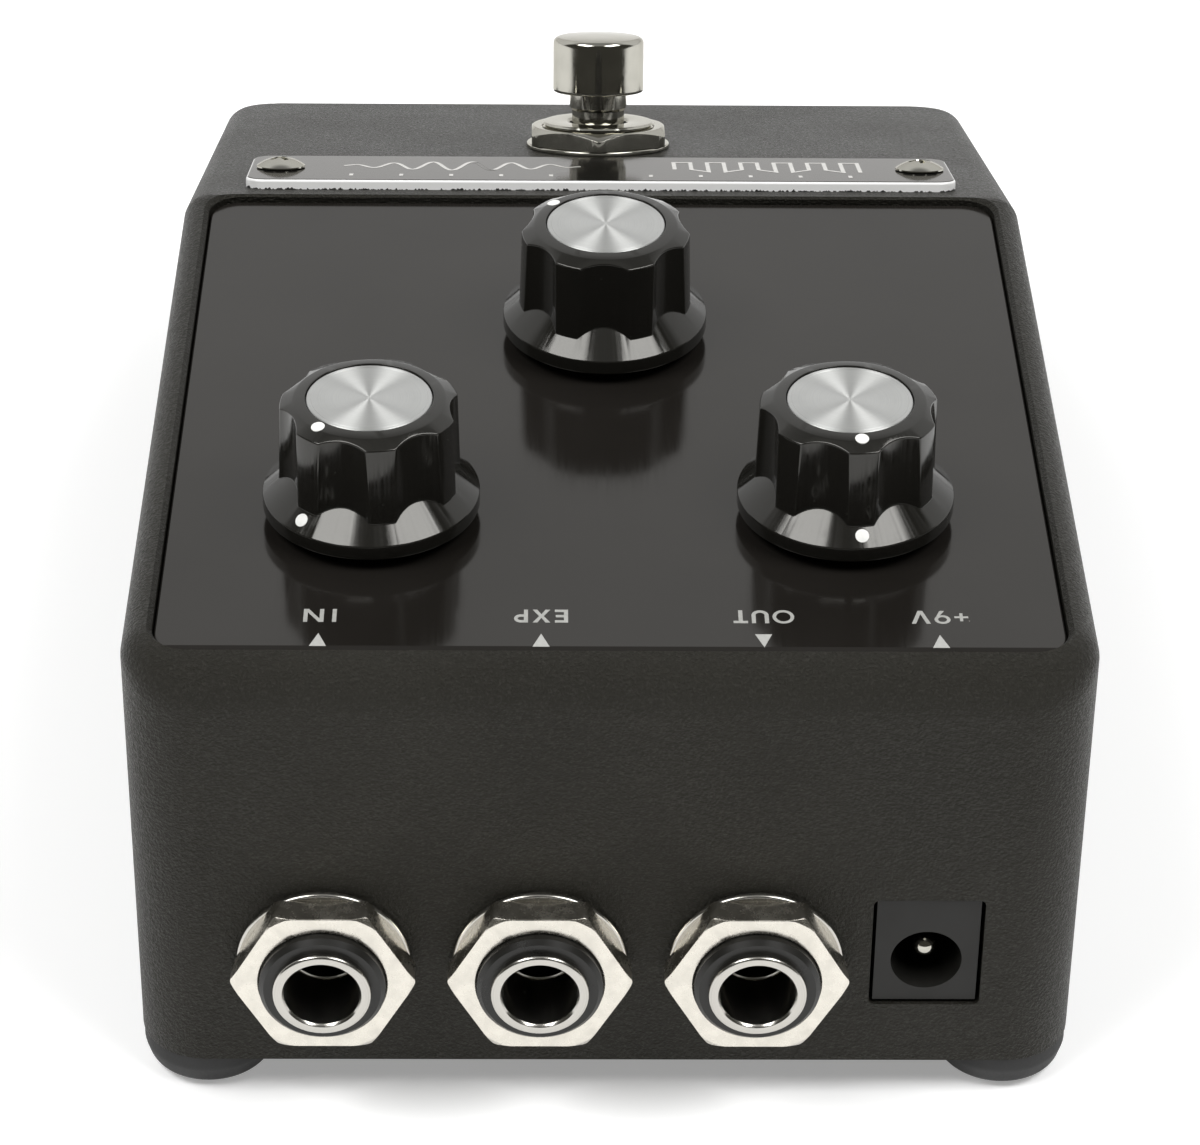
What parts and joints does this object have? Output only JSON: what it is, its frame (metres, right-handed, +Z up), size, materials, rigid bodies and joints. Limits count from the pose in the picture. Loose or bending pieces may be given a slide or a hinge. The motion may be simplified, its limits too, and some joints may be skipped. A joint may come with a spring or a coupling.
{
  "type": "guitar effects pedal",
  "caption": "Cast pedal with a level panel of skirted rotary knobs, a foot switch on a sloping end, and phone jacks with a barrel power inlet on the opposite end.",
  "frame": {"origin": "middle of the footprint, jack barrels included, on the surface that the feet stand on", "axes": "+X along the jack face (to the right seen from the jacks), +Y to the player's end, +Z up"},
  "size_m": [0.0826, 0.146, 0.0569],
  "materials": {
    "powder_coat": "fine wrinkled powder coat",
    "panel_gloss": "smooth semi-gloss",
    "zinc_plate": "bright zinc",
    "rubber": "matt moulded",
    "plate_metal": "satin plate with bright cut edge",
    "nickel": "nickel plated",
    "knob_black": "polished",
    "spun_aluminium": "spun",
    "steel": "plain",
    "brass": "turned",
    "circuit_board": "green solder mask",
    "component_black": "moulded",
    "jack_plastic": "glass filled nylon",
    "lens": "tinted clear",
    "cable_grey": "flat cable",
    "switch_blue": "moulded"
  },
  "bodies": {
    "body": {"enclosure": "powder_coat", "base_plate": "powder_coat", "base_screws": "zinc_plate", "feet": "rubber", "control_panel": "panel_gloss", "name_plate": "plate_metal", "name_plate_screws": "nickel", "pot_washers": "steel", "pot_nuts": "steel", "pot_terminals": "zinc_plate", "status_led": "lens", "led_bezel": "nickel", "footswitch_bushing": "nickel", "footswitch_washer": "nickel", "footswitch_nut": "nickel", "footswitch_lock_nut": "nickel", "footswitch_housing": "switch_blue", "footswitch_base": "component_black", "footswitch_terminals": "brass", "footswitch_spring": "steel", "footswitch_cable": "cable_grey", "jack_washers": "nickel", "jack_nuts": "nickel", "jack_contacts": "brass", "inlet_housing": "jack_plastic", "inlet_pin": "nickel", "jack_board": "circuit_board", "control_board": "circuit_board", "board_header": "component_black", "integrated_circuits": "component_black", "capacitors": "component_black", "pot_bushing_left": "steel", "pot_body_left": "steel", "pot_bushing_right": "steel", "pot_body_right": "steel", "pot_bushing_centre": "steel", "pot_body_centre": "steel", "jack_housing_input": "jack_plastic", "jack_sleeve_input": "nickel", "jack_housing_expression": "jack_plastic", "jack_sleeve_expression": "nickel", "jack_housing_output": "jack_plastic", "jack_sleeve_output": "nickel"},
    "control_left": {"knob_left": "knob_black", "knob_disc_left": "spun_aluminium", "knob_screw_left": "steel", "pot_shaft_left": "brass"},
    "control_right": {"knob_right": "knob_black", "knob_disc_right": "spun_aluminium", "knob_screw_right": "steel", "pot_shaft_right": "brass"},
    "control_centre": {"knob_centre": "knob_black", "knob_disc_centre": "spun_aluminium", "knob_screw_centre": "steel", "pot_shaft_centre": "brass"},
    "footswitch_button": {"footswitch_button": "nickel"}
  },
  "joints": [
    {"name": "turn_left", "type": "hinge", "parent": "body", "child": "control_left", "pos_m": [-0.02074, -0.043, 0.04505], "axis": [0, 0, 1], "range_deg": [-108, 192]},
    {"name": "turn_right", "type": "hinge", "parent": "body", "child": "control_right", "pos_m": [0.02074, -0.043, 0.04505], "axis": [0, 0, 1], "range_deg": [-156, 144]},
    {"name": "turn_centre", "type": "hinge", "parent": "body", "child": "control_centre", "pos_m": [0, -0.012, 0.04505], "axis": [0, 0, 1], "range_deg": [-20, 280]},
    {"name": "press_footswitch", "type": "slide", "parent": "body", "child": "footswitch_button", "axis": [0, 0.3256, 0.9455], "range_m": [-0.0025, 0], "stiffness_N_per_m": 2500, "springref_m": 0.0004, "deforming": ["footswitch_spring"]}
  ]
}
